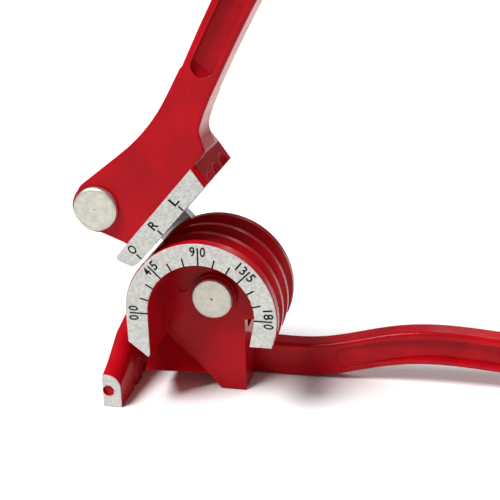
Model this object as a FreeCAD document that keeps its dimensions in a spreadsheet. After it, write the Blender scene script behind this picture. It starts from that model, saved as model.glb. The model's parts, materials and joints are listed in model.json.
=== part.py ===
import FreeCAD, Part
import Sketcher
import math
import os

# Three-size lever tube bender, for 1/4, 5/16 and 3/8 inch tube, up to 180 degrees.
#
# Every sub-part is drawn about the wheel's axis and moved by its Placement, so that the model's
# origin is the centre of the foot's flat bottom face. Y runs along the wheel's axis, away from
# the face with the degree marks, X runs along the lower handle and Z is up.
# The lever is drawn in its shoe's own directions: X along the shoe, Z away from the wheel.

Vector = FreeCAD.Vector
Y_AXIS = Vector(0, 1, 0)

doc = FreeCAD.newDocument("tube_bender")
sheet = doc.addObject("Spreadsheet::Sheet", "sizes")

SIZES = [
    ("ring_inner", 20.0),         # inner radius of the degree ring
    ("crest_radius", 28.8),       # outer radius of the wheel's four flanges
    ("bend_radius", 29.35),       # radius of the tube's centre line
    ("wheel_depth", 36.6),        # wheel, from the degree face to the back
    ("tube_gap", 0.15),           # room between a tube and its groove
    ("tube_one", 3.175),          # tube radii: 1/4, 5/16 and 3/8 inch
    ("tube_two", 3.969),
    ("tube_three", 4.763),
    ("groove_one", 7.33),         # depth of each groove's middle plane
    ("groove_two", 17.17),
    ("groove_three", 28.62),
    ("ring_drop", 10.8),          # the ring's far end below the axis
    ("lead_drop", 12.1),          # the lead-in's outer corner below the axis
    ("lead_tip_drop", 18.3),      # the lead-in's tip below the axis
    ("web_front", 22.0),          # front of the web inside the wheel
    ("web_left", 23.6),
    ("web_drop", 34.5),           # the web's lower edge below the axis
    ("gusset_front", 2.0),        # front of the gusset between the lead-in and the web
    ("gusset_lean", 2.5),         # how steeply the gusset's face comes forward from the web
    ("gusset_rise", 10.0),        # how far its underside rises towards the front
    ("hub_radius", 9.0),
    ("hub_front", 19.8),
    ("pocket_front", 27.0),       # floor of the three pockets behind the web
    ("floor_drop", 40.6),         # the wheel's axis above the surface it stands on
    ("plate_front", 34.2),        # plate behind the web, from the hook to the handle
    ("plate_back", 46.5),
    ("plate_top_drop", 14.0),     # the plate's edges below the axis
    ("plate_low_drop", 36.5),
    ("handle_front", 37.2),
    ("handle_height", 14.3),
    ("handle_reach", 214.0),      # from the wheel's axis to the centre of the end's curve
    ("handle_recess", 2.6),       # depth of the recess in each side of a handle
    ("hook_left", 40.3),
    ("hook_right", 33.0),
    ("hook_end_drop", 27.2),      # top of the hook's end below the axis
    ("dimple_radius", 2.3),       # round recess in the hook's end
    ("dimple_depth", 1.2),
    ("mark_radius", 2.0),         # ejector pin's mark on the web
    ("foot_left", 1.7),
    ("foot_right", 11.7),
    ("foot_run", 5.4),            # width of the slope from the foot up to the web's lower edge
    ("lever_depth", 15.0),        # thickness of the lever's grip
    ("shoe_face", 29.9),          # shoe's face to the wheel's axis
    ("shoe_length", 41.3),
    ("shoe_height", 7.8),
    ("plate_step", 0.7),          # lever's plate behind the shoe's face
    ("grip_reach", 205.0),
    ("grip_height", 13.6),
    ("boss_radius", 9.5),
    ("link_length", 54.6),        # wheel axis to lever pin
    ("link_width", 16.0),
    ("link_eye", 10.0),
    ("link_thickness", 5.0),
    ("pin_radius", 5.0),
    ("pin_head_radius", 8.0),
    ("head_thickness", 2.3),
    ("head_washer", 0.5),         # thickness of the washer under a pin's head
    ("bush_radius", 6.0),
    ("running_gap", 0.05),        # radial room in a turning fit
    ("press_gap", 0.01),          # radial room drawn in a pressed fit
    ("thrust_washer", 1.0),
    ("wave_washer", 0.8),
    ("rear_washer", 1.0),
    ("clip_thickness", 0.8),
    ("clip_groove_radius", 4.1),
    ("washer_radius", 7.6),
    ("shoe_angle", 49.0),         # shoe's direction above X, as posed
    ("link_angle", 132.5),        # link's direction above X, as posed
]
for row, (alias, value) in enumerate(SIZES, start=1):
    sheet.set(f"A{row}", alias)
    sheet.set(f"B{row}", str(value))
    sheet.setAlias(f"B{row}", alias)
doc.recompute()

size = {alias: float(sheet.get(alias)) for alias, _ in SIZES}

FOOT_X = (size["foot_left"] + size["foot_right"]) / 2
FOOT_Y = (size["web_front"] + size["handle_front"]) / 2
FOOT_CORNER = Vector(size["foot_left"] - size["foot_run"], -size["web_drop"], 0)
LINK_FRONT = "sizes.wheel_depth + sizes.thrust_washer"
LINK_BACK = LINK_FRONT + " + sizes.link_thickness"
WASHER_FRONT = LINK_BACK + " + sizes.wave_washer"
CLIP_FRONT = WASHER_FRONT + " + sizes.rear_washer"
PIN_END = CLIP_FRONT + " + sizes.clip_thickness + 1.2"


def placed(angle=0.0, along=0.0):
    """Placement of a piece drawn about the wheel's axis, turned up from X by angle degrees."""
    turn = FreeCAD.Rotation(Y_AXIS, -angle)
    base = Vector(-FOOT_X, -FOOT_Y, size["floor_drop"])
    return FreeCAD.Placement(base + turn.multVec(Vector(along, 0, 0)), turn)


BODY_PLACE = placed()
LEVER_PLACE = placed(size["shoe_angle"])
LINK_PLACE = placed(size["link_angle"])
LEVER_PIN_PLACE = placed(size["link_angle"], size["link_length"])


# ---------------------------------------------------------------- sketching helpers

def flat(x, z):
    return Vector(x, z, 0)


def rounded_outline(corners):
    """Closed outline of lines and corner arcs. Each corner is (x, z, corner radius)."""
    spots = []
    for index, (x, z, radius) in enumerate(corners):
        here = flat(x, z)
        before = flat(*corners[index - 1][:2])
        after = flat(*corners[(index + 1) % len(corners)][:2])
        if radius == 0:
            spots.append((here, None, here))
            continue
        back = (before - here).normalize()
        ahead = (after - here).normalize()
        half = back.getAngle(ahead) / 2
        reach = radius / math.tan(half)
        middle = here + (back + ahead).normalize() * (radius / math.sin(half) - radius)
        spots.append((here + back * reach, middle, here + ahead * reach))
    edges = []
    for index, (start, middle, end) in enumerate(spots):
        if middle is not None:
            edges.append(Part.Arc(start, middle, end))
        following = spots[(index + 1) % len(spots)][0]
        if end.distanceToPoint(following) > 1e-6:
            edges.append(Part.LineSegment(end, following))
    return edges


def curved_bar(centres, height):
    """Outline of a handle: two curves either side of its centre points and a round end."""
    half = height / 2
    top = Part.BSplineCurve()
    top.interpolate([flat(x, z + half) for x, z in centres])
    bottom = Part.BSplineCurve()
    bottom.interpolate([flat(x, z - half) for x, z in centres])
    end_x, end_z = centres[-1]
    start_x, start_z = centres[0]
    end = Part.Arc(flat(end_x, end_z + half), flat(end_x + half, end_z), flat(end_x, end_z - half))
    start = Part.LineSegment(flat(start_x, start_z + half), flat(start_x, start_z - half))
    return [top, end, bottom, start]


def part_body(name, place):
    body = doc.addObject("PartDesign::Body", name)
    body.Label = name
    body.Placement = place
    return body


def sketch(body, name, geometry, depth="0", role="XZ_Plane"):
    """Sketch on one of the body's planes, set back from the degree face by depth."""
    drawn = body.newObject("Sketcher::SketchObject", name)
    plane = next(item for item in body.Origin.OriginFeatures if item.Role == role)
    drawn.AttachmentSupport = [(plane, "")]
    drawn.MapMode = "FlatFace"
    if depth != "0":
        drawn.setExpression(".AttachmentOffset.Base.z", f"-({depth})")
    drawn.addGeometry(geometry, False)
    return drawn


def circle_at(drawn, x, z, radius):
    """Circle whose radius follows a cell, or a sum of cells."""
    index = drawn.addGeometry(Part.Circle(flat(x, z), Vector(0, 0, 1), 1.0), False)
    constraint = drawn.addConstraint(Sketcher.Constraint("Radius", index, 1.0))
    drawn.setExpression(f"Constraints[{constraint}]", radius)


def pad(body, drawn, length, name):
    """Pad a sketch away from the degree face."""
    feature = body.newObject("PartDesign::Pad", name)
    feature.Profile = drawn
    feature.Reversed = True
    feature.setExpression("Length", length)
    drawn.Visibility = False
    return feature


def pocket(body, drawn, length, name, reverse=False):
    feature = body.newObject("PartDesign::Pocket", name)
    feature.Profile = drawn
    feature.Reversed = reverse
    feature.setExpression("Length", length)
    drawn.Visibility = False
    return feature


def soften(body, feature, radius, wanted, name):
    """Fillet the edges of a feature that the wanted test accepts."""
    doc.recompute()
    edges = [f"Edge{number}" for number, edge in enumerate(feature.Shape.Edges, start=1) if wanted(edge)]
    fillet = body.newObject("PartDesign::Fillet", name)
    fillet.Base = (feature, edges)
    fillet.Radius = radius
    doc.recompute()
    return fillet


def at_depth(depth):
    """Edges lying in one plane square to the wheel's axis."""
    def wanted(edge):
        box = edge.BoundBox
        return abs(box.YMin - depth) < 1e-4 and abs(box.YMax - depth) < 1e-4
    return wanted


def removed(body, before):
    """Stops the build when the last pocket or groove took nothing away."""
    doc.recompute()
    if before - body.Shape.Volume < 1.0:
        raise RuntimeError(f"{body.Tip.Label} removed nothing")


def along_bar(front, back):
    """Edges round a bar's two faces, without the straight ones at its root."""
    in_front = at_depth(front)
    behind = at_depth(back)

    def wanted(edge):
        return (in_front(edge) or behind(edge)) and edge.Curve.TypeId != "Part::GeomLine"
    return wanted


# ---------------------------------------------------------------- grooves shared by wheel and shoe

GROOVES = [("groove_one", "tube_one"), ("groove_two", "tube_two"), ("groove_three", "tube_three")]


def tube_circles(body, name, role, side, extra="0"):
    """The three tubes' sections, in the XY or YZ plane, at the bend radius on one side."""
    drawn = sketch(body, name, [], role=role)
    for depth, tube in GROOVES:
        radius = f"sizes.{tube} + sizes.tube_gap + {extra}"
        if role == "XY_Plane":
            circle_at(drawn, side * size["bend_radius"], size[depth], radius)
        else:
            circle_at(drawn, size[depth], side * size["bend_radius"], radius)
    return drawn


# ---------------------------------------------------------------- former: wheel, web, hook, handle

def make_wheel():
    """Grooved rim with its straight lead-in at the hook side."""
    body = part_body("wheel_blank", BODY_PLACE)
    outer = size["crest_radius"]
    inner = size["ring_inner"]
    drop = size["ring_drop"]
    tip = size["lead_tip_drop"]
    end = flat(math.sqrt(outer ** 2 - drop ** 2), -drop)
    inner_end = flat(inner - 2.0, -drop)
    inner_tip = flat(-inner, -tip + 1.1)
    blunt_tip = flat(-inner - 0.9, -tip)
    lead_corner = flat(-outer + 0.2, -size["lead_drop"])
    edges = [
        Part.Arc(flat(-outer, 0), flat(0, outer), end),
        Part.LineSegment(end, inner_end),
        Part.LineSegment(inner_end, flat(inner, 0)),
        Part.Arc(flat(inner, 0), flat(0, inner), flat(-inner, 0)),
        Part.LineSegment(flat(-inner, 0), inner_tip),
        Part.LineSegment(inner_tip, blunt_tip),
        Part.LineSegment(blunt_tip, lead_corner),
        Part.LineSegment(lead_corner, flat(-outer, 0)),
    ]
    rim = pad(body, sketch(body, "rim_outline", edges), "sizes.wheel_depth", "rim")
    soften(body, rim, 0.6, at_depth(0.0), "rim_edge")
    before = body.Shape.Volume
    bent = body.newObject("PartDesign::Groove", "bent_grooves")
    section = tube_circles(body, "bent_section", "XY_Plane", -1)
    bent.Profile = section
    bent.ReferenceAxis = (section, ["V_Axis"])
    bent.Angle = 204.0
    removed(body, before)
    before = body.Shape.Volume
    pocket(body, tube_circles(body, "lead_section", "XY_Plane", -1), "sizes.floor_drop", "lead_grooves")
    removed(body, before)
    return body


def make_web():
    """Web inside the rim, with the hub, the foot and three pockets behind."""
    body = part_body("web_blank", BODY_PLACE)
    over = size["ring_inner"] + 1.0
    shoulder = 15.0
    left = -size["web_left"]
    right = size["foot_right"]
    floor = -size["floor_drop"]
    outline = [
        flat(over, 0), flat(over - 2.0, -8.6), flat(right, -10.0), flat(right, floor),
        flat(size["foot_left"], floor), FOOT_CORNER, flat(left, -size["web_drop"]),
        flat(left, -shoulder), flat(-over, -shoulder), flat(-over, 0),
    ]
    edges = [Part.Arc(flat(-over, 0), flat(0, over), flat(over, 0))]
    edges += [Part.LineSegment(start, end) for start, end in zip(outline, outline[1:])]
    drawn = sketch(body, "web_outline", edges, "sizes.web_front")
    pad(body, drawn, "sizes.wheel_depth - sizes.web_front", "web")
    hub = sketch(body, "hub_circle", [], "sizes.hub_front")
    circle_at(hub, 0, 0, "sizes.hub_radius")
    pad(body, hub, "sizes.wheel_depth - sizes.hub_front", "hub")
    doc.recompute()
    add_rear_pockets(body)
    before = body.Shape.Volume
    mark = sketch(body, "casting_mark", [], "sizes.web_front")
    circle_at(mark, -13.0, 2.2, "sizes.mark_radius")
    pocket(body, mark, "0.5", "ejector_mark")
    removed(body, before)
    before = body.Shape.Volume
    bore = sketch(body, "bore_circle", [])
    circle_at(bore, 0, 0, "sizes.pin_radius + sizes.press_gap")
    pocket(body, bore, "sizes.plate_back", "hub_bore")
    removed(body, before)
    return body


def make_corner_gusset():
    """Gusset from the lead-in's tip down to the web's lower edge; its front leans back to the web."""
    body = part_body("gusset_blank", BODY_PLACE)
    left = -size["web_left"]
    inner = -size["ring_inner"]
    low = -size["web_drop"]
    shoulder = -size["plate_top_drop"]
    crease = flat(inner, FOOT_CORNER.y + FOOT_CORNER.x - inner)
    corners = [(left, shoulder, 0.0), (inner, shoulder, 0.0), (crease.x, crease.y, 0.0),
               (FOOT_CORNER.x, FOOT_CORNER.y, 0.0), (left, low, 0.0)]
    drawn = sketch(body, "gusset_outline", rounded_outline(corners), "sizes.gusset_front")
    pad(body, drawn, "sizes.pocket_front - sizes.gusset_front", "gusset_block")
    doc.recompute()

    before = body.Shape.Volume
    rise = size["web_front"] - size["gusset_front"]
    far = 2 * size["web_drop"]
    corners = [(0.0, 0.0, 0.0), (0.0, -far, 0.0), (rise / size["gusset_lean"], -far, 0.0),
               (rise / size["gusset_lean"], -rise, 0.0)]
    wedge = sketch(body, "gusset_wedge", rounded_outline(corners))
    turn = FreeCAD.Rotation(Vector(-1, -1, 0), Vector(0, 0, -1), Vector(1, -1, 0), "XYZ")
    wedge.AttachmentOffset = FreeCAD.Placement(Vector(FOOT_CORNER.x, FOOT_CORNER.y, -size["web_front"]), turn)
    cut = pocket(body, wedge, "4 * sizes.web_drop", "gusset_lean")
    cut.Midplane = True
    removed(body, before)

    before = body.Shape.Volume
    raised = low + size["gusset_rise"]
    corners = [(size["web_front"], low, 0.0), (size["gusset_front"], raised, 0.0), (0.0, raised, 0.0),
               (0.0, low - 1.0, 0.0), (size["web_front"], low - 1.0, 0.0)]
    under = sketch(body, "gusset_under", rounded_outline(corners), role="YZ_Plane")
    cut = pocket(body, under, "4 * sizes.web_drop", "gusset_underside")
    cut.Midplane = True
    removed(body, before)
    return body


def add_rear_pockets(body):
    """Ring of equal pockets behind the web, round the hub."""
    start, stop = math.radians(-4), math.radians(48)
    inner, outer = size["hub_radius"] + 1.5, size["ring_inner"] - 0.5

    def polar(radius, angle):
        return flat(radius * math.cos(angle), radius * math.sin(angle))

    middle = (start + stop) / 2
    sector = [
        Part.Arc(polar(outer, start), polar(outer, middle), polar(outer, stop)),
        Part.LineSegment(polar(outer, stop), polar(inner, stop)),
        Part.Arc(polar(inner, stop), polar(inner, middle), polar(inner, start)),
        Part.LineSegment(polar(inner, start), polar(outer, start)),
    ]
    before = body.Shape.Volume
    hollow = pocket(body, sketch(body, "pocket_outline", sector, "sizes.wheel_depth"),
                    "sizes.wheel_depth - sizes.pocket_front", "rear_pocket", reverse=True)
    removed(body, before)
    pattern = body.newObject("PartDesign::PolarPattern", "rear_pockets")
    pattern.Originals = [hollow]
    pattern.Axis = (body.Origin.OriginFeatures[1], [""])
    pattern.Angle = 180.0
    pattern.Occurrences = 4
    body.Tip = pattern
    doc.recompute()


def make_back_plate():
    """Plate behind the web that carries the hook and the root of the handle."""
    body = part_body("back_plate_blank", BODY_PLACE)
    floor = -size["floor_drop"]
    left = -size["hook_left"]
    inside = left + 6.3
    top = -size["plate_top_drop"]
    low = -size["plate_low_drop"]
    slope = size["foot_run"] / (size["floor_drop"] - size["web_drop"])
    foot_left = size["foot_left"]
    foot_right = size["foot_right"]
    corners = [
        (left, floor, 0.0), (left, top, 3.0), (foot_right, top, 2.0), (foot_right, floor, 0.0),
        (foot_left, floor, 0.0), (foot_left - (low - floor) * slope, low, 0.0), (inside, low, 0.0),
        (inside, floor, 0.0),
    ]
    plate = pad(body, sketch(body, "plate_outline", rounded_outline(corners), "sizes.plate_front"),
                "sizes.plate_back - sizes.plate_front", "plate")
    soften(body, plate, 0.8, at_depth(size["plate_back"]), "plate_edge")
    return body


def make_hook():
    """Arm that comes forward from the back plate and holds the tube against the lead-in."""
    body = part_body("hook_blank", BODY_PLACE)
    floor = -size["floor_drop"]
    end_top = -size["hook_end_drop"]
    top = -size["plate_top_drop"]
    back = size["plate_front"] + 2.0
    side = [(0.0, floor, 0.0), (0.0, end_top, 0.0), (7.0, end_top + 3.0, 12.0), (18.5, top - 3.2, 8.0),
            (31.0, top, 6.0), (back, top, 0.0), (back, floor, 0.0)]
    drawn = sketch(body, "hook_side", rounded_outline(side), role="YZ_Plane")
    drawn.AttachmentOffset = FreeCAD.Placement(Vector(0, 0, -size["hook_left"]), FreeCAD.Rotation())
    arm = pad(body, drawn, "sizes.hook_left - sizes.hook_right", "arm")
    arm.Reversed = False
    rounded = soften(body, arm, 5.0, top_edge_at(-size["hook_right"]), "hook_tube_side")
    soften(body, rounded, 1.0, top_edge_at(-size["hook_left"]), "hook_outer_side")
    before = body.Shape.Volume
    pocket(body, tube_circles(body, "seat_section", "XY_Plane", -1, "0.25"), "sizes.floor_drop", "tube_seats")
    removed(body, before)
    before = body.Shape.Volume
    dimple = sketch(body, "dimple_circle", [])
    circle_at(dimple, size["dimple_radius"] - size["hook_left"], end_top - 6.7, "sizes.dimple_radius")
    pocket(body, dimple, "sizes.dimple_depth", "hook_dimple")
    removed(body, before)
    return body


def top_edge_at(x):
    """Edges of the hook's sloping top on one side."""
    def wanted(edge):
        box = edge.BoundBox
        on_side = abs(box.XMin - x) < 1e-4 and abs(box.XMax - x) < 1e-4
        on_top = box.ZMin > -size["hook_end_drop"] - 1.0
        return on_side and on_top and box.YMin < size["plate_front"] - 2.0 and box.YLength > 0.1
    return wanted


def recess_tool(name, place, centres, height, ramp, face, inward):
    """Solid to cut from a handle's side: a long outline whose depth grows along a ramp."""
    outline = part_body(name + "_outline_blank", place)
    first, last = ramp
    deep = size["handle_recess"]
    drawn = sketch(outline, name + "_outline", rounded_bar(centres, height), str(face - deep))
    pad(outline, drawn, "2 * sizes.handle_recess", name + "_run")
    wedge = part_body(name + "_wedge_blank", place)
    floor = face + inward * deep
    outside = face - inward * deep
    end = centres[-1][0] + height
    corners = [(first, outside, 0), (first, face, 0), (last, floor, 0), (end, floor, 0), (end, outside, 0)]
    section = sketch(wedge, name + "_ramp", rounded_outline(corners), role="XY_Plane")
    ramped = wedge.newObject("PartDesign::Pad", name + "_ramp_pad")
    ramped.Profile = section
    ramped.setExpression("Length", "2 * sizes.handle_reach")
    ramped.Midplane = True
    tool = doc.addObject("Part::Common", name)
    tool.Base = outline
    tool.Tool = wedge
    doc.recompute()
    return tool


def recessed(name, bar, tools):
    """A bar with its side recesses cut."""
    both = doc.addObject("Part::MultiFuse", name + "_recesses")
    both.Shapes = tools
    cut = doc.addObject("Part::Cut", name)
    cut.Base = bar
    cut.Tool = both
    doc.recompute()
    if bar.Shape.Volume - cut.Shape.Volume < 1.0:
        raise RuntimeError(f"{name} has no recesses")
    return cut


def rounded_bar(centres, height):
    """Outline like a handle's, with a round start as well."""
    top, end, bottom, _ = curved_bar(centres, height)
    start_x, start_z = centres[0]
    half = height / 2
    above = flat(start_x, start_z + half)
    below = flat(start_x, start_z - half)
    return [top, end, bottom, Part.Arc(above, flat(start_x - half, start_z), below)]


HANDLE_LOW = size["handle_height"] / 2 - size["floor_drop"]
HANDLE_LINE = [(0.0, HANDLE_LOW), (22.0, HANDLE_LOW), (38.0, HANDLE_LOW + 0.5), (50.0, HANDLE_LOW + 2.9),
               (64.0, HANDLE_LOW + 6.6), (79.0, HANDLE_LOW + 9.0), (100.0, HANDLE_LOW + 8.8),
               (130.0, HANDLE_LOW + 5.8), (170.0, HANDLE_LOW + 1.6), (size["handle_reach"], HANDLE_LOW)]


def make_handle():
    """Lower handle: a wavy bar, recessed on both sides."""
    body = part_body("handle_bar_blank", BODY_PLACE)
    front = size["handle_front"]
    back = size["plate_back"]
    bar = pad(body, sketch(body, "handle_outline", curved_bar(HANDLE_LINE, size["handle_height"]),
                           "sizes.handle_front"), "sizes.plate_back - sizes.handle_front", "bar")
    soften(body, bar, 1.4, along_bar(front, back), "bar_edges")
    line = [(x, z - 0.3) for x, z in HANDLE_LINE if 48 < x < size["handle_reach"]]
    line.append((size["handle_reach"] - 3.0, HANDLE_LOW - 0.2))
    height = size["handle_height"] - 5.2
    ramp = (42.0, 84.0)
    tools = [recess_tool("front_recess", BODY_PLACE, line, height, ramp, front, 1),
             recess_tool("back_recess", BODY_PLACE, line, height, ramp, back, -1)]
    return recessed("handle_blank", body, tools)


def fuse(name, bodies):
    """One casting from several blanks."""
    casting = doc.addObject("Part::MultiFuse", name)
    casting.Label = name
    casting.Shapes = bodies
    casting.Refine = True
    doc.recompute()
    return casting


def make_former():
    pieces = [make_wheel(), make_web(), make_corner_gusset(), make_back_plate(), make_hook(), make_handle()]
    return fuse("former_body", pieces)


# ---------------------------------------------------------------- forming lever: shoe, boss, grip

PIN_X = size["link_length"] * math.cos(math.radians(size["link_angle"] - size["shoe_angle"]))
PIN_Z = size["link_length"] * math.sin(math.radians(size["link_angle"] - size["shoe_angle"]))


END_LEAN = 1.9


def make_shoe():
    """Grooved block that slides the tube round the wheel."""
    body = part_body("shoe_blank", LEVER_PLACE)
    face = size["shoe_face"]
    top = face + size["shoe_height"]
    end = size["shoe_length"]
    corners = [(-2.4, face + 0.8, 1.5), (1.0, face, 3.0), (end, face, 0.0), (end + END_LEAN, top, 0.0),
               (2.4, top, 0.0), (-4.9, top - 0.1, 1.5)]
    block = pad(body, sketch(body, "shoe_outline", rounded_outline(corners)), "sizes.wheel_depth", "block")
    doc.recompute()
    ends = [f"Edge{number}" for number, edge in enumerate(block.Shape.Edges, start=1) if at_depth(0.0)(edge)
            and edge.BoundBox.XMin > end - 1.0]
    bevel = body.newObject("PartDesign::Chamfer", "end_bevel")
    bevel.Base = (block, ends)
    bevel.Size = 1.8
    doc.recompute()
    before = body.Shape.Volume
    section = tube_circles(body, "shoe_section", "YZ_Plane", 1)
    grooves = pocket(body, section, "4 * sizes.shoe_length", "shoe_grooves")
    grooves.Midplane = True
    removed(body, before)
    return body


def make_lever_plate():
    """Front plate that joins the boss, the shoe and the grip, and the boss itself."""
    body = part_body("lever_plate_blank", LEVER_PLACE)
    inside = size["shoe_face"] + size["shoe_height"] - 2.0
    reach = size["boss_radius"]
    corners = [(2.4, inside, 0.0), (41.0, inside, 0.0), (42.8, 37.6, 0.0), (49.4, 37.6, 0.6),
               (53.2, 43.9, 7.0), (59.0, 46.3, 10.0), (66.0, 48.4, 0.0), (66.0, 62.3, 0.0),
               (41.8, 57.1, 65.0), (8.0, PIN_Z + reach + 0.3, 6.0), (-3.5, 62.0, 7.0), (-1.6, 50.0, 3.0),
               (2.4, 38.6, 0.0)]
    plate = pad(body, sketch(body, "lever_outline", rounded_outline(corners), "sizes.plate_step"),
                "sizes.lever_depth - sizes.plate_step", "lever_plate")
    soften(body, plate, 0.8, rim_of_plate, "lever_plate_edge")
    boss = sketch(body, "boss_circle", [], "sizes.plate_step")
    circle_at(boss, PIN_X, PIN_Z, "sizes.boss_radius - 0.2")
    pad(body, boss, "sizes.wheel_depth - sizes.plate_step", "boss")
    doc.recompute()
    return body


def rim_of_plate(edge):
    """Front edges of the lever's plate away from the shoe and the grip."""
    box = edge.BoundBox
    return at_depth(size["plate_step"])(edge) and box.ZMax > 38.5 and box.XMax < 65.9


GRIP_LINE = [(56.0, 52.6), (66.0, 55.2), (80.0, 58.8), (100.0, 63.3), (128.0, 68.4), (160.0, 74.6),
             (size["grip_reach"], 85.0)]


def make_grip():
    """Grip of the lever, recessed on both sides like the lower handle."""
    body = part_body("grip_bar_blank", LEVER_PLACE)
    front = size["plate_step"]
    back = size["lever_depth"]
    drawn = sketch(body, "grip_outline", curved_bar(GRIP_LINE, size["grip_height"]), "sizes.plate_step")
    bar = pad(body, drawn, "sizes.lever_depth - sizes.plate_step", "grip")
    soften(body, bar, 1.4, along_bar(front, back), "grip_edges")
    line = [(72.0, 56.8)] + [(x, z) for x, z in GRIP_LINE if 72 < x < size["grip_reach"]]
    line.append((size["grip_reach"] - 3.0, GRIP_LINE[-1][1] - 0.7))
    height = size["grip_height"] - 5.2
    ramp = (62.0, 71.0)
    tools = [recess_tool("grip_front_recess", LEVER_PLACE, line, height, ramp, front, 1),
             recess_tool("grip_back_recess", LEVER_PLACE, line, height, ramp, back, -1)]
    return recessed("grip_blank", body, tools)


def make_near_wall():
    """Wall at the shoe's near end, between the boss and the block."""
    body = part_body("near_wall_blank", LEVER_PLACE)
    top = size["shoe_face"] + size["shoe_height"]
    corners = [(3.4, top - 3.0, 0.0), (8.0, top - 3.0, 0.0), (9.5, PIN_Z - 4.0, 0.0), (0.6, PIN_Z - 4.0, 0.0)]
    pad(body, sketch(body, "wall_outline", rounded_outline(corners), "sizes.lever_depth - 2"),
        "sizes.wheel_depth - sizes.lever_depth + 2", "near_wall")
    doc.recompute()
    return body


def make_end_gusset():
    """Gusset from the back of the neck down to the shoe's far end."""
    body = part_body("end_gusset_blank", LEVER_PLACE)
    top = size["shoe_face"] + size["shoe_height"]
    end = size["shoe_length"] + END_LEAN
    corners = [(end - 6.0, top - 3.0, 0.0), (end - 0.8, top - 3.0, 0.0), (end, top, 0.0),
               (end + 9.0, top + 8.6, 0.0), (end, top + 8.6, 0.0)]
    pad(body, sketch(body, "end_gusset_outline", rounded_outline(corners), "sizes.lever_depth - 2"),
        "sizes.wheel_depth - sizes.lever_depth + 2", "gusset")
    slope = [(size["lever_depth"], top + 9.0, 0.0), (size["wheel_depth"] + 1.0, top - 0.4, 0.0),
             (size["wheel_depth"] + 1.0, top + 9.0, 0.0)]
    doc.recompute()
    before = body.Shape.Volume
    section = sketch(body, "gusset_slope", rounded_outline(slope), role="YZ_Plane")
    cut = pocket(body, section, "4 * sizes.shoe_length", "gusset_cut")
    cut.Midplane = True
    removed(body, before)
    return body


def make_lever():
    casting = fuse("lever_casting_blank", [make_shoe(), make_lever_plate(), make_grip(), make_near_wall(),
                                           make_end_gusset()])
    bore = doc.addObject("Part::Cylinder", "lever_bore_tool")
    bore.setExpression("Radius", "sizes.bush_radius + sizes.press_gap")
    bore.setExpression("Height", "sizes.wheel_depth + 10")
    bore.Placement = standing(LEVER_PIN_PLACE, -5.0)
    lever = doc.addObject("Part::Cut", "forming_lever")
    lever.Label = "forming_lever"
    lever.Base = casting
    lever.Tool = bore
    doc.recompute()
    return lever


def standing(place, depth):
    """Placement of a Part cylinder along Y that starts at a depth."""
    turn = FreeCAD.Rotation(Vector(1, 0, 0), -90)
    return place.multiply(FreeCAD.Placement(Vector(0, depth, 0), turn))


# ---------------------------------------------------------------- link, pins, bushes, washers, clips

def turned(name, place, profile):
    """Round piece: a half section of (radius, depth) corners turned about the Y axis."""
    body = part_body(name, place)
    spots = [Vector(radius, depth, 0) for radius, depth in profile]
    lines = [Part.LineSegment(spots[index - 1], spots[index]) for index in range(len(spots))]
    section = sketch(body, name + "_section", lines, role="XY_Plane")
    turn = body.newObject("PartDesign::Revolution", name + "_turn")
    turn.Profile = section
    turn.ReferenceAxis = (section, ["V_Axis"])
    turn.Angle = 360.0
    doc.recompute()
    return body


def ring(name, place, front, thickness, outer, inner):
    """Washer or bush: a flat ring from a depth backwards."""
    body = part_body(name, place)
    drawn = sketch(body, name + "_rings", [], front)
    circle_at(drawn, 0, 0, outer)
    circle_at(drawn, 0, 0, inner)
    pad(body, drawn, thickness, name + "_pad")
    doc.recompute()
    return body


def make_link():
    """Link plate behind the wheel, with an eye at each end."""
    body = part_body("link_plate", LINK_PLACE)
    length = size["link_length"]
    half = size["link_width"] / 2
    eye = size["link_eye"]
    shoulder = math.sqrt(eye ** 2 - half ** 2)
    edges = [
        Part.LineSegment(flat(shoulder, half), flat(length - shoulder, half)),
        Part.Arc(flat(length - shoulder, half), flat(length + eye, 0), flat(length - shoulder, -half)),
        Part.LineSegment(flat(length - shoulder, -half), flat(shoulder, -half)),
        Part.Arc(flat(shoulder, -half), flat(-eye, 0), flat(shoulder, half)),
    ]
    plate = pad(body, sketch(body, "link_outline", edges, LINK_FRONT), "sizes.link_thickness", "link_bar")
    doc.recompute()
    wheel_eye = sketch(body, "wheel_eye", [], LINK_FRONT)
    circle_at(wheel_eye, 0, 0, "sizes.bush_radius + sizes.press_gap")
    circle_at(wheel_eye, length, 0, "sizes.pin_radius + sizes.press_gap")
    before = plate.Shape.Volume
    eyes = pocket(body, wheel_eye, "sizes.link_thickness", "link_eyes")
    removed(body, before)
    soften(body, eyes, 0.6, is_link_rim, "link_rim")


def is_link_rim(edge):
    """Outer edges of the link's back face."""
    box = edge.BoundBox
    is_long = max(box.XLength, box.ZLength) > 2 * size["bush_radius"] + 1.0
    return at_depth(evaluate(LINK_BACK))(edge) and is_long


def evaluate(expression):
    """Depth in millimetres of an expression written in cells."""
    words = expression.replace("sizes.", "").split(" + ")
    return sum(size[word] if word in size else float(word) for word in words)


def make_pin(name, place, head_back):
    """Headed pin with a clip groove near its end; head_back is the depth of the head's underside."""
    shank = size["pin_radius"]
    head = size["pin_head_radius"]
    front = head_back - size["head_thickness"]
    groove = evaluate(CLIP_FRONT)
    end = evaluate(PIN_END)
    neck = size["clip_groove_radius"]
    edge = 0.5
    groove_end = groove + size["clip_thickness"]
    profile = [(0, front + 0.35), (0.5, front), (head - edge, front), (head, front + edge), (head, head_back),
               (shank, head_back), (shank, groove), (neck, groove), (neck, groove_end), (shank, groove_end),
               (shank, end - edge), (shank - edge, end), (0, end)]
    return turned(name, place, profile)


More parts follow.
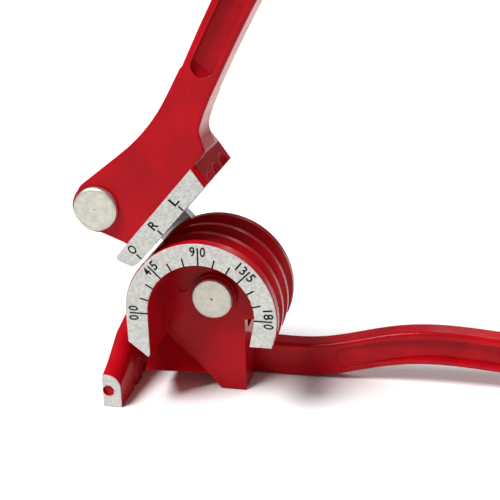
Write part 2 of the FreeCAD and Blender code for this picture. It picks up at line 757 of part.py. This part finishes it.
def make_clip(name, place):
    """E-clip in the pin's groove: a ring with an open mouth and two side notches."""
    body = part_body(name, place)
    drawn = sketch(body, name + "_outline", clip_outline(), CLIP_FRONT)
    pad(body, drawn, "sizes.clip_thickness", name + "_pad")
    doc.recompute()
    return body


def clip_outline():
    """Outline of an E-clip, open downwards."""
    inner = size["clip_groove_radius"]
    outer = size["washer_radius"]
    mouth = math.radians(35)

    def at(radius, angle):
        return flat(radius * math.sin(angle), -radius * math.cos(angle))

    return [
        Part.Arc(at(outer, mouth), at(outer, math.pi), at(outer, -mouth)),
        Part.LineSegment(at(outer, -mouth), at(inner, -mouth)),
        Part.Arc(at(inner, -mouth), at(inner, math.pi), at(inner, mouth)),
        Part.LineSegment(at(inner, mouth), at(outer, mouth)),
    ]


def make_pivot(label, place, head_back, washer_front):
    """Pin, washers and clip of one pivot."""
    pin_hole = "sizes.pin_radius + 0.15"
    make_pin(f"{label}_pin", place, head_back)
    ring(f"{label}_head_washer", place, washer_front, "sizes.head_washer", "sizes.washer_radius", pin_hole)
    ring(f"{label}_thrust_washer", place, "sizes.wheel_depth", "sizes.thrust_washer", "sizes.washer_radius",
         pin_hole)
    ring(f"{label}_spring_washer", place, LINK_BACK, "sizes.wave_washer", "sizes.washer_radius - 0.6",
         pin_hole)
    ring(f"{label}_back_washer", place, WASHER_FRONT, "sizes.rear_washer", "sizes.washer_radius", pin_hole)
    make_clip(f"{label}_clip", place)


make_former()
make_lever()
make_link()
make_pivot("wheel", BODY_PLACE, size["hub_front"] - size["head_washer"],
           "sizes.hub_front - sizes.head_washer")
make_pivot("lever", LEVER_PIN_PLACE, size["plate_step"] - size["head_washer"],
           "sizes.plate_step - sizes.head_washer")
bush_bore = "sizes.pin_radius + sizes.running_gap"
ring("link_bush", BODY_PLACE, LINK_FRONT, "sizes.link_thickness", "sizes.bush_radius", bush_bore)
ring("lever_bush", LEVER_PIN_PLACE, "sizes.plate_step", "sizes.wheel_depth - sizes.plate_step",
     "sizes.bush_radius", bush_bore)
doc.recompute()

# ---------------------------------------------------------------- checks and export

PIVOT_PIECES = ["pin", "head_washer", "thrust_washer", "spring_washer", "back_washer", "clip"]
NODES = ["former_body", "forming_lever", "link_plate", "link_bush", "lever_bush"]
NODES += [f"{pivot}_{piece}" for pivot in ("wheel", "lever") for piece in PIVOT_PIECES]

for item in doc.Objects:
    if "Invalid" in item.State or "Error" in item.State:
        raise RuntimeError(f"{item.Name} failed: {item.State}")

os.makedirs("parts", exist_ok=True)
for node in NODES:
    shape = doc.getObjectsByLabel(node)[0].Shape
    if shape.isNull() or not shape.isValid() or len(shape.Solids) != 1:
        raise RuntimeError(f"{node} is not one valid solid")
    shape.exportStep(f"parts/{node}.step")
    print(node, round(shape.Volume, 1), "mm3")
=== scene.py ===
import json
import math

import bpy
from mathutils import Matrix, Vector


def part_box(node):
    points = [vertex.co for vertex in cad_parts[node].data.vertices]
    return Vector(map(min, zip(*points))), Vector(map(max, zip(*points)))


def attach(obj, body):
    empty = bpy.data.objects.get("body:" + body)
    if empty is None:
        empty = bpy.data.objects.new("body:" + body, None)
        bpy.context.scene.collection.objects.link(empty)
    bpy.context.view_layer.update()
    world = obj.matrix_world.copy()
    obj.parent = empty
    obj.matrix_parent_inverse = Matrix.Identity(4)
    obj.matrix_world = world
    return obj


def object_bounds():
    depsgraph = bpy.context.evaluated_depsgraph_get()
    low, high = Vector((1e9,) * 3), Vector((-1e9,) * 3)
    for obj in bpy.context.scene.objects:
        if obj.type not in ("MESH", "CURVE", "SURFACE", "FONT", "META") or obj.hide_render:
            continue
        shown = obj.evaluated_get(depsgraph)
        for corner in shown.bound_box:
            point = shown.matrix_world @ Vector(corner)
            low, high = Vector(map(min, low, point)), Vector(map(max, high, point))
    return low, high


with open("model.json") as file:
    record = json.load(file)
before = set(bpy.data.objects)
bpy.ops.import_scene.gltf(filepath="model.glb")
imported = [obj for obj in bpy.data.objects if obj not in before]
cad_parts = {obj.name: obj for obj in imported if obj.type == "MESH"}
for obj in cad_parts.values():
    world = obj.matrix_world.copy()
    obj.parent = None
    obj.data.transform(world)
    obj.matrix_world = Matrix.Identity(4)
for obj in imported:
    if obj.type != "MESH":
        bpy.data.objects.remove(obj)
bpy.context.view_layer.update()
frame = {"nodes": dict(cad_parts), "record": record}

MM = 0.001
QUARTER_TURN = math.pi / 2

# ---------------------------------------------------------------- places taken from the frame

JOINTS = {joint["name"]: joint for joint in frame["record"]["behaviour"]["joints"]}
WHEEL_AXIS = Vector(JOINTS["link_swing"]["pos_m"])
LEVER_AXIS = Vector(JOINTS["lever_pivot"]["pos_m"])
FACE_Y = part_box("former_body")[0][1]
WHEEL = Vector((WHEEL_AXIS.x, FACE_Y, WHEEL_AXIS.z))
FLOOR_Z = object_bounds()[0][2]

# ---------------------------------------------------------------- sizes of the marks

RING_INNER = 20.0 * MM
RING_OUTER = 28.3 * MM
SHOE_FACE = 29.9 * MM
SHOE_ANGLE = math.radians(49.0)

MARK_LIFT = 0.03 * MM
MARK_WIDTH = 0.6 * MM
BAR_END_STEPS = 6
FIGURE_SIZE = (2.0 * MM, 3.7 * MM)
PAIR_SIZE = (3.7 * MM, 3.7 * MM)
LETTER_SIZE = (2.8 * MM, 3.5 * MM)
# The font's 8 loses part of its fill at 0.09 mm, and its 9 at 0.10 mm.
STROKE_GAIN = 0.07 * MM

DEGREE_STEP = 15
DEGREE_END = 180
FIGURES = {0: ("0", "0"), 45: ("4", "5"), 90: ("9", "0"), 135: ("13", "5"), 180: ("18", "0")}
TICK_GAP = 0.1 * MM
LONG_TICK = 0.84
SHORT_TICK = 0.42
FIGURE_INSET = 2.7 * MM
FIGURE_SHIFT = 1.9 * MM
PAIR_SHIFT = 2.75 * MM

SHOE_MARKS = {"O": 2.5 * MM, "R": 15.4 * MM, "L": 27.9 * MM}
SHOE_TICK_LENGTH = 2.6 * MM
SHOE_TICK_REACH = 1.4 * MM
LETTER_REACH = 5.0 * MM
LETTER_SHIFT = 0.4 * MM

# ---------------------------------------------------------------- camera

CAMERA_AZIMUTH = math.radians(12.556)
CAMERA_ELEVATION = math.radians(20.215)
CAMERA_ROLL = math.radians(-1.276)
CAMERA_DISTANCE = 346.0 * MM
CAMERA_ACROSS = 18.3 * MM
CAMERA_ABOVE = 24.7 * MM
CAMERA_CLIP = 10.0 * MM
LENS = 68.0
SENSOR = 36.0


def add_object(name, data):
    """A new object in the scene."""
    made = bpy.data.objects.new(name, data)
    bpy.context.scene.collection.objects.link(made)
    return made


def make_camera():
    """Camera a little to the right of the degree face and above it."""
    forward = Vector((
        -math.sin(CAMERA_AZIMUTH) * math.cos(CAMERA_ELEVATION),
        math.cos(CAMERA_AZIMUTH) * math.cos(CAMERA_ELEVATION),
        -math.sin(CAMERA_ELEVATION),
    ))
    right = Vector((math.cos(CAMERA_AZIMUTH), math.sin(CAMERA_AZIMUTH), 0.0))
    up = right.cross(forward)
    tilt = Matrix.Rotation(CAMERA_ROLL, 3, -forward)
    right = tilt @ right
    up = tilt @ up
    data = bpy.data.cameras.new("camera")
    data.lens = LENS
    data.sensor_width = SENSOR
    data.clip_start = CAMERA_CLIP
    camera = add_object("camera", data)
    turn = Matrix((right, up, -forward)).transposed().to_4x4()
    place = WHEEL + right * CAMERA_ACROSS + up * CAMERA_ABOVE - forward * CAMERA_DISTANCE
    camera.matrix_world = Matrix.Translation(place) @ turn
    bpy.context.scene.camera = camera


# ---------------------------------------------------------------- material helpers

class Graph:
    """Short way to add and join the nodes of one material."""

    def __init__(self, name):
        self.material = bpy.data.materials.new(name)
        self.material.use_nodes = True
        self.nodes = self.material.node_tree.nodes
        self.links = self.material.node_tree.links
        self.shader = self.nodes["Principled BSDF"]
        self.place = self.node("ShaderNodeTexCoord").outputs["Object"]

    def node(self, kind, **settings):
        made = self.nodes.new(kind)
        for key, value in settings.items():
            setattr(made, key, value)
        return made

    def put(self, socket, value):
        """Links a socket to another one, or gives it a number or a colour."""
        if isinstance(value, bpy.types.NodeSocket):
            self.links.new(value, socket)
        else:
            socket.default_value = value

    def set(self, name, value):
        """Fills one of the shader's own sockets."""
        self.put(self.shader.inputs[name], value)

    def math(self, operation, *values):
        made = self.node("ShaderNodeMath", operation=operation)
        for socket, value in zip(made.inputs, values):
            self.put(socket, value)
        return made.outputs[0]

    def noise(self, scale, detail=4.0, roughness=0.55):
        made = self.node("ShaderNodeTexNoise")
        self.put(made.inputs["Vector"], self.place)
        made.inputs["Scale"].default_value = scale
        made.inputs["Detail"].default_value = detail
        made.inputs["Roughness"].default_value = roughness
        return made.outputs["Fac"]

    def spread(self, value, taken, given=(0.0, 1.0)):
        """Maps the range taken to the range given, and holds the ends."""
        made = self.node("ShaderNodeMapRange")
        for socket, setting in zip(made.inputs, (value, *taken, *given)):
            self.put(socket, setting)
        return made.outputs["Result"]

    def blend(self, factor, first, second):
        """Mixes two colours."""
        made = self.node("ShaderNodeMix", data_type="RGBA")
        self.put(made.inputs["Factor"], factor)
        self.put(made.inputs[6], first)
        self.put(made.inputs[7], second)
        return made.outputs[2]

    def mix(self, factor, first, second):
        """Mixes two numbers."""
        made = self.node("ShaderNodeMix", data_type="FLOAT")
        self.put(made.inputs[0], factor)
        self.put(made.inputs[2], first)
        self.put(made.inputs[3], second)
        return made.outputs[0]

    def rounded(self, radius):
        """Normal that shades every edge as if it had a small radius."""
        made = self.node("ShaderNodeBevel", samples=4)
        made.inputs["Radius"].default_value = radius
        return made.outputs["Normal"]

    def bump(self, height, strength, distance, normal):
        made = self.node("ShaderNodeBump")
        self.put(made.inputs["Height"], height)
        made.inputs["Strength"].default_value = strength
        made.inputs["Distance"].default_value = distance
        self.put(made.inputs["Normal"], normal)
        return made.outputs["Normal"]

    def axes(self):
        made = self.node("ShaderNodeSeparateXYZ")
        self.put(made.inputs[0], self.place)
        return made.outputs

    def radius(self, centre):
        """Distance in metres from an axis along Y through centre."""
        x, _, z = self.axes()
        across = self.math("SUBTRACT", x, centre.x)
        high = self.math("SUBTRACT", z, centre.z)
        across_squared = self.math("MULTIPLY", across, across)
        high_squared = self.math("MULTIPLY", high, high)
        return self.math("SQRT", self.math("ADD", across_squared, high_squared))

    def inside(self, value, low, high, edge):
        """1 where value lies between low and high, with a thin soft edge."""
        above = self.spread(value, (low - edge, low + edge))
        below = self.spread(value, (high - edge, high + edge), (1.0, 0.0))
        return self.math("MULTIPLY", above, below)


GROUND_DEPTH = 0.1 * MM
GROUND_EDGE = 0.02 * MM


def ground_face(graph):
    """1 on the faces ground flat in the plane of the degree marks."""
    _, y, _ = graph.axes()
    return graph.inside(y, FACE_Y - GROUND_DEPTH, FACE_Y + GROUND_DEPTH, GROUND_EDGE)


# ---------------------------------------------------------------- materials

RED = (0.46, 0.003, 0.009, 1.0)
RED_DEEP = (0.33, 0.002, 0.007, 1.0)
BARE = (0.66, 0.66, 0.62, 1.0)
BARE_DARK = (0.50, 0.50, 0.47, 1.0)
# Painted shade: the dark line in the pin heads' rim groove and the dark spot in their centre marks.
PAINTED_SHADE_DARK = (0.16, 0.14, 0.11, 1.0)
STEEL = (0.72, 0.70, 0.61, 1.0)
ZINC = (0.58, 0.59, 0.60, 1.0)
DARK = (0.16, 0.16, 0.17, 1.0)
BRONZE = (0.58, 0.38, 0.19, 1.0)
INK = (0.008, 0.007, 0.008, 1.0)
INK_WORN = (0.03, 0.027, 0.026, 1.0)
FLOOR_COLOUR = (0.90, 0.89, 0.90, 1.0)
FLOOR_PALE = (0.93, 0.93, 0.93, 1.0)

# Lowest and highest roughness over each finish.
PAINT_ROUGHNESS = (0.16, 0.26)
BARE_ROUGHNESS = (0.42, 0.6)
PLAIN_ROUGHNESS = (0.38, 0.52)
WASHER_ROUGHNESS = (0.28, 0.42)
SPRING_ROUGHNESS = (0.3, 0.45)
LINK_ROUGHNESS = (0.3, 0.45)

PAINT_SPECULAR = 0.12
INK_SPECULAR = 0.1
BARE_METALLIC = 0.55
STEEL_METALLIC = 0.85
STEEL_SHADE = 0.72
CASTING_EDGE = 0.45 * MM
STEEL_EDGE = 0.2 * MM
# Radians per metre: one tool mark about every 0.2 mm.
TOOL_MARKS = 30000.0
PIN_RIM = 7.1 * MM
RIM_WIDTH = 0.15 * MM
RIM_EDGE = 0.12 * MM
CENTRE_MARK = (0.2 * MM, 0.6 * MM)


def casting(name):
    """Glossy red enamel on a die casting, with its front faces ground to bare metal."""
    graph = Graph(name)
    bare = ground_face(graph)
    drift = graph.spread(graph.noise(scale=60.0, detail=3.0), (0.35, 0.7))
    paint = graph.blend(drift, RED, RED_DEEP)
    grain = graph.noise(scale=1400.0, detail=5.0, roughness=0.65)
    patches = graph.noise(scale=700.0, roughness=0.6)
    mottling = graph.spread(graph.math("MULTIPLY", grain, patches), (0.17, 0.33))
    metal = graph.blend(mottling, BARE_DARK, BARE)
    graph.set("Base Color", graph.blend(bare, paint, metal))
    graph.set("Metallic", graph.mix(bare, 0.0, BARE_METALLIC))
    glossy = graph.spread(graph.noise(scale=140.0), (0.3, 0.7), PAINT_ROUGHNESS)
    matt = graph.spread(grain, (0.3, 0.7), BARE_ROUGHNESS)
    graph.set("Roughness", graph.mix(bare, glossy, matt))
    graph.set("Specular IOR Level", PAINT_SPECULAR)
    peel = graph.noise(scale=420.0, detail=2.0)
    orange_peel = graph.bump(peel, 0.10, 0.3 * MM, graph.rounded(CASTING_EDGE))
    graph.set("Normal", graph.bump(grain, 0.12, 0.15 * MM, orange_peel))
    return graph.material


def turned_steel(name, centre, colour, roughness=PLAIN_ROUGHNESS, rim=None):
    """Turned metal: fine rings round an axis and a soft mottling.

    With a rim radius, as on a pin's head, there is painted shade in a line near the rim and in a
    small mark at the centre.
    """
    graph = Graph(name)
    radius = graph.radius(centre)
    rings = graph.math("SINE", graph.math("MULTIPLY", radius, TOOL_MARKS))
    cloud = graph.noise(scale=350.0, detail=5.0, roughness=0.6)
    shade = tuple(channel * STEEL_SHADE for channel in colour[:3]) + (1.0,)
    tone = graph.blend(graph.spread(cloud, (0.3, 0.62)), shade, colour)
    if rim is not None:
        # Painted shade: a dark line in the groove near the rim and a dark spot in the centre mark,
        # patchy in strength.
        groove = graph.inside(radius, rim - RIM_WIDTH, rim, RIM_EDGE)
        centre_mark = graph.spread(radius, CENTRE_MARK, (1.0, 0.0))
        line = graph.math("MAXIMUM", groove, centre_mark)
        wear_and_shade_amount = graph.spread(graph.noise(scale=500.0, detail=3.0), (0.35, 0.6), (0.2, 0.75))
        tone = graph.blend(graph.math("MULTIPLY", line, wear_and_shade_amount), tone, PAINTED_SHADE_DARK)
    graph.set("Base Color", tone)
    graph.set("Metallic", STEEL_METALLIC)
    graph.set("Roughness", graph.spread(cloud, (0.3, 0.7), roughness))
    pores = graph.noise(scale=2500.0, detail=3.0)
    fine = graph.bump(pores, 0.15, 0.05 * MM, graph.rounded(STEEL_EDGE))
    graph.set("Normal", graph.bump(rings, 0.12, 0.02 * MM, fine))
    return graph.material


def mark_paint():
    """Black paint rubbed into the marks."""
    graph = Graph("mark_paint")
    wear_and_shade_amount = graph.spread(graph.noise(scale=1500.0), (0.5, 0.8))
    graph.set("Base Color", graph.blend(wear_and_shade_amount, INK, INK_WORN))
    graph.set("Roughness", 0.6)
    graph.set("Specular IOR Level", INK_SPECULAR)
    return graph.material


def floor_finish():
    """Pale matt floor with a faint drift of tone."""
    graph = Graph("floor_finish")
    graph.set("Base Color", graph.blend(graph.noise(scale=30.0), FLOOR_COLOUR, FLOOR_PALE))
    graph.set("Roughness", 0.75)
    return graph.material


def give(node, material):
    """Puts one material on a CAD node."""
    target = frame["nodes"][node]
    target.data.materials.clear()
    target.data.materials.append(material)


def finish_frame():
    """Gives every CAD node its material."""
    give("former_body", casting("former_paint"))
    give("forming_lever", casting("lever_paint"))
    for pivot, centre in (("wheel", WHEEL_AXIS), ("lever", LEVER_AXIS)):
        give(f"{pivot}_pin", turned_steel(f"{pivot}_pin_steel", centre, STEEL, rim=PIN_RIM))
        for piece in ("head_washer", "thrust_washer", "back_washer"):
            zinc = turned_steel(f"{pivot}_{piece}_zinc", centre, ZINC, WASHER_ROUGHNESS)
            give(f"{pivot}_{piece}", zinc)
        for piece in ("spring_washer", "clip"):
            dark = turned_steel(f"{pivot}_{piece}_dark", centre, DARK, SPRING_ROUGHNESS)
            give(f"{pivot}_{piece}", dark)
    give("link_plate", turned_steel("link_zinc", LEVER_AXIS, ZINC, LINK_ROUGHNESS))
    give("link_bush", turned_steel("link_bush_bronze", WHEEL_AXIS, BRONZE))
    give("lever_bush", turned_steel("lever_bush_bronze", LEVER_AXIS, BRONZE))


# ---------------------------------------------------------------- marks

def add_piece(name, mesh, material):
    """A new object with a mesh and one material."""
    mesh.materials.clear()
    mesh.materials.append(material)
    return add_object(name, mesh)


def ride_on_face(piece, body, centre, angle, reach):
    """Lays a flat piece on the degree plane, at a reach from centre, its top turned outward."""
    outward = Vector((math.cos(angle), 0.0, math.sin(angle)))
    upright = Matrix.Rotation(QUARTER_TURN, 4, "X")
    turn = Matrix.Rotation(QUARTER_TURN - angle, 4, "Y") @ upright
    piece.matrix_world = Matrix.Translation(centre + outward * reach) @ turn
    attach(piece, body)


def bar_mesh(name, width, length, height):
    """A flat bar with rounded ends, centred on the origin, its length along Y."""
    radius = width / 2
    outline = []
    for end, start in ((1, 0.0), (-1, math.pi)):
        for step in range(BAR_END_STEPS + 1):
            angle = start + math.pi * step / BAR_END_STEPS
            y = end * (length / 2 - radius) + radius * math.sin(angle)
            outline.append((radius * math.cos(angle), y))
    count = len(outline)
    points = [(x, y, z) for z in (0.0, height) for x, y in outline]
    faces = [tuple(range(count, 2 * count)), tuple(reversed(range(count)))]
    for index in range(count):
        following = (index + 1) % count
        faces.append((index, following, count + following, count + index))
    mesh = bpy.data.meshes.new(name)
    mesh.from_pydata(points, [], faces)
    return mesh


def text_mesh(name, text, size):
    """Flat figures or letters, stretched to a given width and height and lifted off the face."""
    curve = bpy.data.curves.new(name, "FONT")
    curve.body = text
    curve.size = size[1]
    curve.offset = STROKE_GAIN
    figure = add_object(name + "_curve", curve)
    bpy.context.view_layer.update()
    mesh = bpy.data.meshes.new_from_object(figure)
    bpy.data.objects.remove(figure)
    for axis in (0, 1):
        low = min(vertex.co[axis] for vertex in mesh.vertices)
        high = max(vertex.co[axis] for vertex in mesh.vertices)
        middle = (low + high) / 2
        for vertex in mesh.vertices:
            vertex.co[axis] = (vertex.co[axis] - middle) * size[axis] / (high - low)
    for vertex in mesh.vertices:
        vertex.co.z = MARK_LIFT
    return mesh


def make_degree_marks(material):
    """A tick at every step, and figures either side of every third one."""
    band = RING_OUTER - RING_INNER
    reach = RING_OUTER - FIGURE_INSET
    for degree in range(0, DEGREE_END + 1, DEGREE_STEP):
        angle = math.radians(DEGREE_END - degree)
        length = band * (LONG_TICK if degree in FIGURES else SHORT_TICK)
        name = f"degree_tick_{degree}"
        tick = add_piece(name, bar_mesh(name, MARK_WIDTH, length, MARK_LIFT), material)
        ride_on_face(tick, "former", WHEEL, angle, RING_INNER + length / 2 + TICK_GAP)
        for side, place, text in zip((1, -1), ("before", "after"), FIGURES.get(degree, ())):
            size, shift = (PAIR_SIZE, PAIR_SHIFT) if len(text) == 2 else (FIGURE_SIZE, FIGURE_SHIFT)
            name = f"degree_{degree}_{place}"
            figure = add_piece(name, text_mesh(name, text, size), material)
            ride_on_face(figure, "former", WHEEL, angle + side * shift / reach, reach)


def make_shoe_marks(material):
    """Start, right and left marks along the shoe's strip."""
    outward = Vector((-math.sin(SHOE_ANGLE), 0.0, math.cos(SHOE_ANGLE)))
    along = Vector((math.cos(SHOE_ANGLE), 0.0, math.sin(SHOE_ANGLE)))
    angle = SHOE_ANGLE + QUARTER_TURN
    for text, distance in SHOE_MARKS.items():
        foot = WHEEL + along * distance + outward * SHOE_FACE
        name = f"shoe_tick_{text}"
        tick = add_piece(name, bar_mesh(name, MARK_WIDTH, SHOE_TICK_LENGTH, MARK_LIFT), material)
        ride_on_face(tick, "lever", foot, angle, SHOE_TICK_REACH)
        name = f"shoe_mark_{text}"
        letter = add_piece(name, text_mesh(name, text, LETTER_SIZE), material)
        ride_on_face(letter, "lever", foot + along * LETTER_SHIFT, angle, LETTER_REACH)


# ---------------------------------------------------------------- stage

FLOOR_REACH = 3.0
FLOOR_DROP = 0.1 * MM


def make_stage():
    """A square floor just under the foot."""
    corners = ((-1, -1), (1, -1), (1, 1), (-1, 1))
    points = [(x * FLOOR_REACH, y * FLOOR_REACH, 0.0) for x, y in corners]
    mesh = bpy.data.meshes.new("floor")
    mesh.from_pydata(points, [], [(0, 1, 2, 3)])
    floor = add_piece("floor", mesh, floor_finish())
    floor.location.z = FLOOR_Z - FLOOR_DROP


def add_softbox(name, place, aim, size, power):
    """Rectangular light at a place, turned towards a point."""
    data = bpy.data.lights.new(name, "AREA")
    data.shape = "RECTANGLE"
    data.size, data.size_y = size
    data.energy = power
    light = add_object(name, data)
    light.location = place
    light.rotation_euler = (Vector(aim) - Vector(place)).to_track_quat("-Z", "Y").to_euler()


def add_sun(name, direction, strength, spread):
    """Distant light that comes from a direction, with soft-edged shadows."""
    data = bpy.data.lights.new(name, "SUN")
    data.energy = strength
    data.angle = spread
    light = add_object(name, data)
    light.rotation_euler = Vector(direction).to_track_quat("Z", "Y").to_euler()


def make_lights():
    """Even white surroundings, a key light from the upper left and a weak light from behind."""
    world = bpy.data.worlds.new("studio")
    bpy.context.scene.world = world
    world.use_nodes = True
    background = world.node_tree.nodes["Background"]
    background.inputs["Color"].default_value = (1.0, 1.0, 1.0, 1.0)
    background.inputs["Strength"].default_value = 0.19
    add_sun("key", direction=(-0.45, -0.46, 1.0), strength=3.9, spread=math.radians(26.0))
    add_softbox("back_softbox", place=(0.25, 0.60, 0.55), aim=(0.0, 0.0, 0.05),
                size=(0.5, 0.3), power=2.0)


make_camera()
finish_frame()
marks = mark_paint()
make_degree_marks(marks)
make_shoe_marks(marks)
make_stage()
make_lights()
bpy.context.scene.view_settings.view_transform = "Standard"
